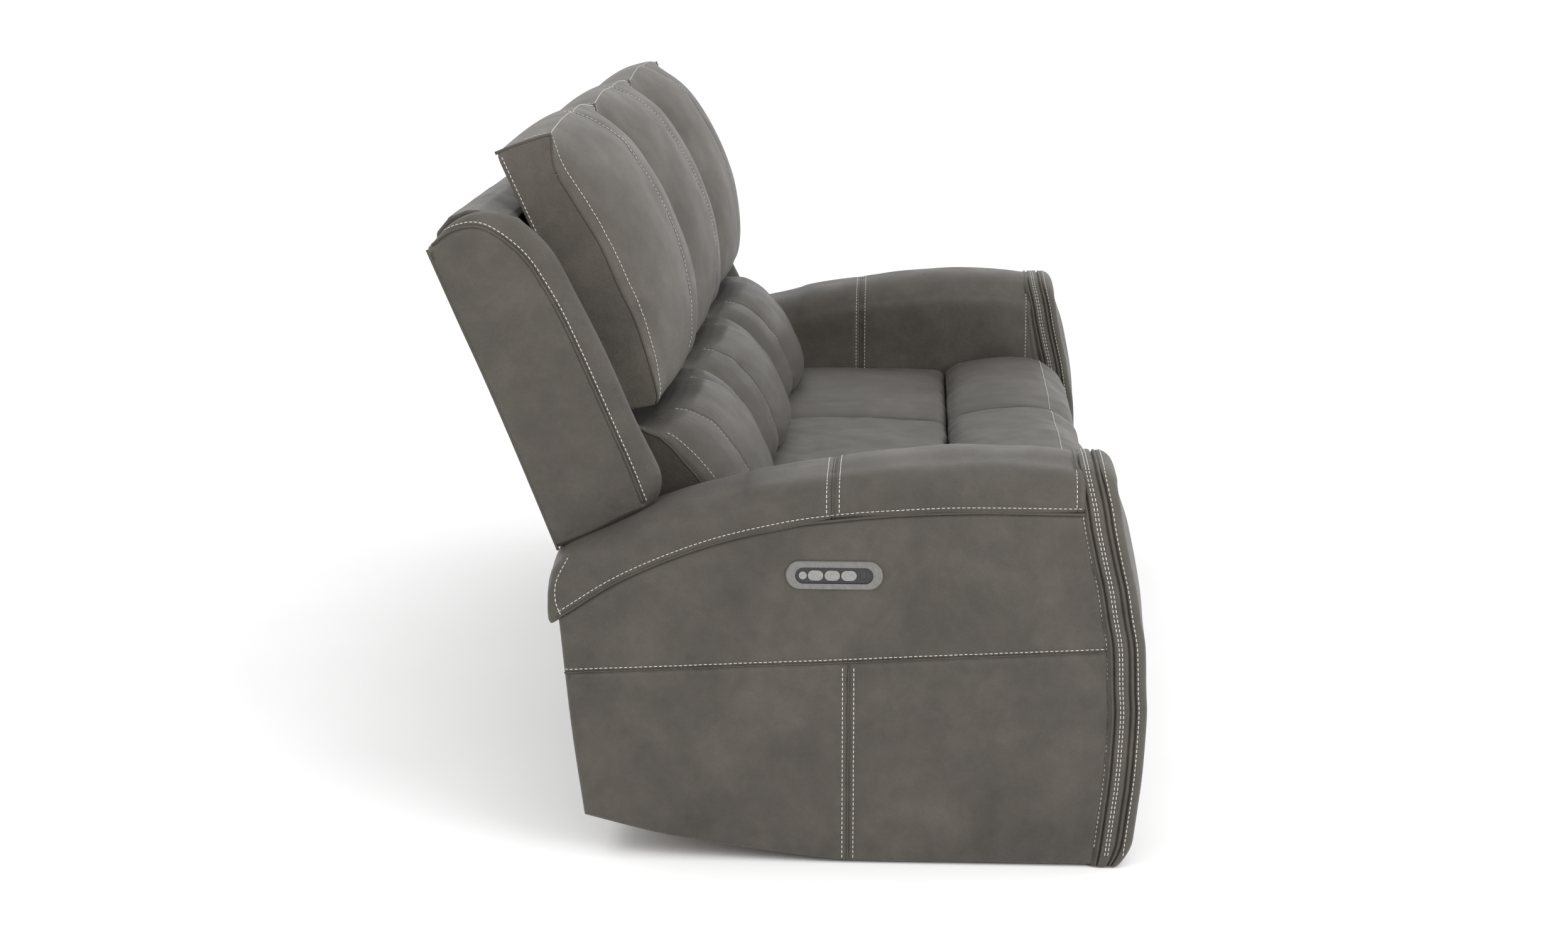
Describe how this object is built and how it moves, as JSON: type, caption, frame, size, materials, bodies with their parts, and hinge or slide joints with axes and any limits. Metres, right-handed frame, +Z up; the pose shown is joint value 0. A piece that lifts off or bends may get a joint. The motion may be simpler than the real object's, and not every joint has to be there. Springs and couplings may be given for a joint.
{
  "type": "power reclining sofa",
  "caption": "Leather-covered power reclining sofa with winged backs, tilting headrests, fold-out footrests, pillow arms and a switch panel on each arm.",
  "frame": {"origin": "middle of the footprint, on the floor", "axes": "+Z up, -Y to the front, +X to the sitter's left"},
  "size_m": [2.178, 1.0987, 1.102],
  "materials": {
    "leather": "satin",
    "frame_wood": "matte",
    "frame_steel": "satin",
    "bright_steel": "satin",
    "actuator_shell": "matte",
    "bezel_metal": "satin",
    "black_plastic": "matte",
    "button_plastic": "satin",
    "glide_plastic": "matte"
  },
  "bodies": {
    "root": {"arm_frames": "frame_wood", "base_rails": "frame_steel", "centre_back_frame": "frame_wood", "centre_front_panel": "leather", "centre_headrest_cushion": "leather", "centre_lumbar_cushion": "leather", "centre_outside_back": "leather", "centre_seat_bolster": "leather", "centre_seat_cushion": "leather", "centre_seat_frame": "frame_wood", "control_bezels": "bezel_metal", "control_inserts": "black_plastic", "glides": "glide_plastic", "left_arm_fascia": "leather", "left_arm_inner_panel": "leather", "left_arm_pad": "leather", "left_arm_side_panel": "leather", "power_box": "black_plastic", "recline_actuators": "actuator_shell", "recline_brackets": "frame_steel", "recline_shafts": "bright_steel", "right_arm_fascia": "leather", "right_arm_inner_panel": "leather", "right_arm_pad": "leather", "right_arm_side_panel": "leather", "seat_runners": "frame_steel"},
    "right_seat": {"right_seat_frame": "frame_wood", "right_seat_cushion": "leather", "right_seat_bolster": "leather"},
    "right_footrest_rear_links": {"right_footrest_rear_links": "frame_steel"},
    "right_footrest_front_links": {"right_footrest_front_links": "frame_steel"},
    "right_footrest": {"right_footrest_brackets": "frame_steel", "right_footrest_board": "leather"},
    "right_back": {"right_back_frame": "frame_wood", "right_outside_back": "leather", "right_lumbar_cushion": "leather"},
    "right_headrest": {"right_headrest_plate": "frame_steel", "right_headrest_cushion": "leather"},
    "right_piston": {"right_recline_piston": "bright_steel"},
    "right_memory_button": {"right_memory_button": "button_plastic"},
    "right_recline_button": {"right_recline_button": "button_plastic"},
    "right_footrest_button": {"right_footrest_button": "button_plastic"},
    "right_headrest_button": {"right_headrest_button": "button_plastic"},
    "left_seat": {"left_seat_frame": "frame_wood", "left_seat_cushion": "leather", "left_seat_bolster": "leather"},
    "left_footrest_rear_links": {"left_footrest_rear_links": "frame_steel"},
    "left_footrest_front_links": {"left_footrest_front_links": "frame_steel"},
    "left_footrest": {"left_footrest_brackets": "frame_steel", "left_footrest_board": "leather"},
    "left_back": {"left_back_frame": "frame_wood", "left_outside_back": "leather", "left_lumbar_cushion": "leather"},
    "left_headrest": {"left_headrest_plate": "frame_steel", "left_headrest_cushion": "leather"},
    "left_piston": {"left_recline_piston": "bright_steel"},
    "left_memory_button": {"left_memory_button": "button_plastic"},
    "left_recline_button": {"left_recline_button": "button_plastic"},
    "left_footrest_button": {"left_footrest_button": "button_plastic"},
    "left_headrest_button": {"left_headrest_button": "button_plastic"}
  },
  "joints": [
    {"name": "right_footrest_lift", "type": "hinge", "parent": "right_seat", "child": "right_footrest_rear_links", "pos_m": [-0.57533, -0.31, 0.262], "axis": [-1, 0, 0], "range_deg": [0, 45]},
    {"name": "right_footrest_knee", "type": "hinge", "parent": "right_footrest_rear_links", "child": "right_footrest_front_links", "pos_m": [-0.57533, -0.35158, 0.06637], "axis": [1, 0, 0], "range_deg": [0, 90.5]},
    {"name": "right_footrest_turn", "type": "hinge", "parent": "right_footrest_front_links", "child": "right_footrest", "pos_m": [-0.57533, -0.39316, 0.262], "axis": [-1, 0, 0], "range_deg": [0, 135.5]},
    {"name": "right_seat_slide", "type": "slide", "parent": "root", "child": "right_seat", "axis": [0, -1, 0], "range_m": [0, 0.0502]},
    {"name": "right_recline", "type": "hinge", "parent": "root", "child": "right_back", "pos_m": [-0.57533, 0.215, 0.19], "axis": [-1, 0, 0], "range_deg": [0, 25]},
    {"name": "right_piston_slide", "type": "slide", "parent": "root", "child": "right_piston", "axis": [0, -1, 0], "range_m": [0, 0.0307]},
    {"name": "right_headrest_tilt", "type": "hinge", "parent": "right_back", "child": "right_headrest", "pos_m": [-0.57533, 0.262, 0.648], "axis": [1, 0, 0], "range_deg": [0, 25]},
    {"name": "right_memory_press", "type": "slide", "parent": "root", "child": "right_memory_button", "axis": [1, 0, 0], "range_m": [0, 0.001], "stiffness_N_per_m": 600, "springref_m": -0.0005},
    {"name": "right_recline_press", "type": "slide", "parent": "root", "child": "right_recline_button", "axis": [1, 0, 0], "range_m": [0, 0.001], "stiffness_N_per_m": 600, "springref_m": -0.0005},
    {"name": "right_footrest_press", "type": "slide", "parent": "root", "child": "right_footrest_button", "axis": [1, 0, 0], "range_m": [0, 0.001], "stiffness_N_per_m": 600, "springref_m": -0.0005},
    {"name": "right_headrest_press", "type": "slide", "parent": "root", "child": "right_headrest_button", "axis": [1, 0, 0], "range_m": [0, 0.001], "stiffness_N_per_m": 600, "springref_m": -0.0005},
    {"name": "left_footrest_lift", "type": "hinge", "parent": "left_seat", "child": "left_footrest_rear_links", "pos_m": [0.57533, -0.31, 0.262], "axis": [-1, 0, 0], "range_deg": [0, 45]},
    {"name": "left_footrest_knee", "type": "hinge", "parent": "left_footrest_rear_links", "child": "left_footrest_front_links", "pos_m": [0.57533, -0.35158, 0.06637], "axis": [1, 0, 0], "range_deg": [0, 90.5]},
    {"name": "left_footrest_turn", "type": "hinge", "parent": "left_footrest_front_links", "child": "left_footrest", "pos_m": [0.57533, -0.39316, 0.262], "axis": [-1, 0, 0], "range_deg": [0, 135.5]},
    {"name": "left_seat_slide", "type": "slide", "parent": "root", "child": "left_seat", "axis": [0, -1, 0], "range_m": [0, 0.0502]},
    {"name": "left_recline", "type": "hinge", "parent": "root", "child": "left_back", "pos_m": [0.57533, 0.215, 0.19], "axis": [-1, 0, 0], "range_deg": [0, 25]},
    {"name": "left_piston_slide", "type": "slide", "parent": "root", "child": "left_piston", "axis": [0, -1, 0], "range_m": [0, 0.0307]},
    {"name": "left_headrest_tilt", "type": "hinge", "parent": "left_back", "child": "left_headrest", "pos_m": [0.57533, 0.262, 0.648], "axis": [1, 0, 0], "range_deg": [0, 25]},
    {"name": "left_memory_press", "type": "slide", "parent": "root", "child": "left_memory_button", "axis": [-1, 0, 0], "range_m": [0, 0.001], "stiffness_N_per_m": 600, "springref_m": -0.0005},
    {"name": "left_recline_press", "type": "slide", "parent": "root", "child": "left_recline_button", "axis": [-1, 0, 0], "range_m": [0, 0.001], "stiffness_N_per_m": 600, "springref_m": -0.0005},
    {"name": "left_footrest_press", "type": "slide", "parent": "root", "child": "left_footrest_button", "axis": [-1, 0, 0], "range_m": [0, 0.001], "stiffness_N_per_m": 600, "springref_m": -0.0005},
    {"name": "left_headrest_press", "type": "slide", "parent": "root", "child": "left_headrest_button", "axis": [-1, 0, 0], "range_m": [0, 0.001], "stiffness_N_per_m": 600, "springref_m": -0.0005}
  ],
  "couplings": [
    {"joint": "right_footrest_knee", "follows": "right_footrest_lift", "ratio": 2},
    {"joint": "right_footrest_turn", "follows": "right_footrest_lift", "ratio": 3},
    {"joint": "right_seat_slide", "follows": "right_footrest_lift", "m_per_rad": 0.06366},
    {"joint": "right_piston_slide", "follows": "right_recline", "m_per_rad": 0.07},
    {"joint": "left_footrest_knee", "follows": "left_footrest_lift", "ratio": 2},
    {"joint": "left_footrest_turn", "follows": "left_footrest_lift", "ratio": 3},
    {"joint": "left_seat_slide", "follows": "left_footrest_lift", "m_per_rad": 0.06366},
    {"joint": "left_piston_slide", "follows": "left_recline", "m_per_rad": 0.07}
  ]
}
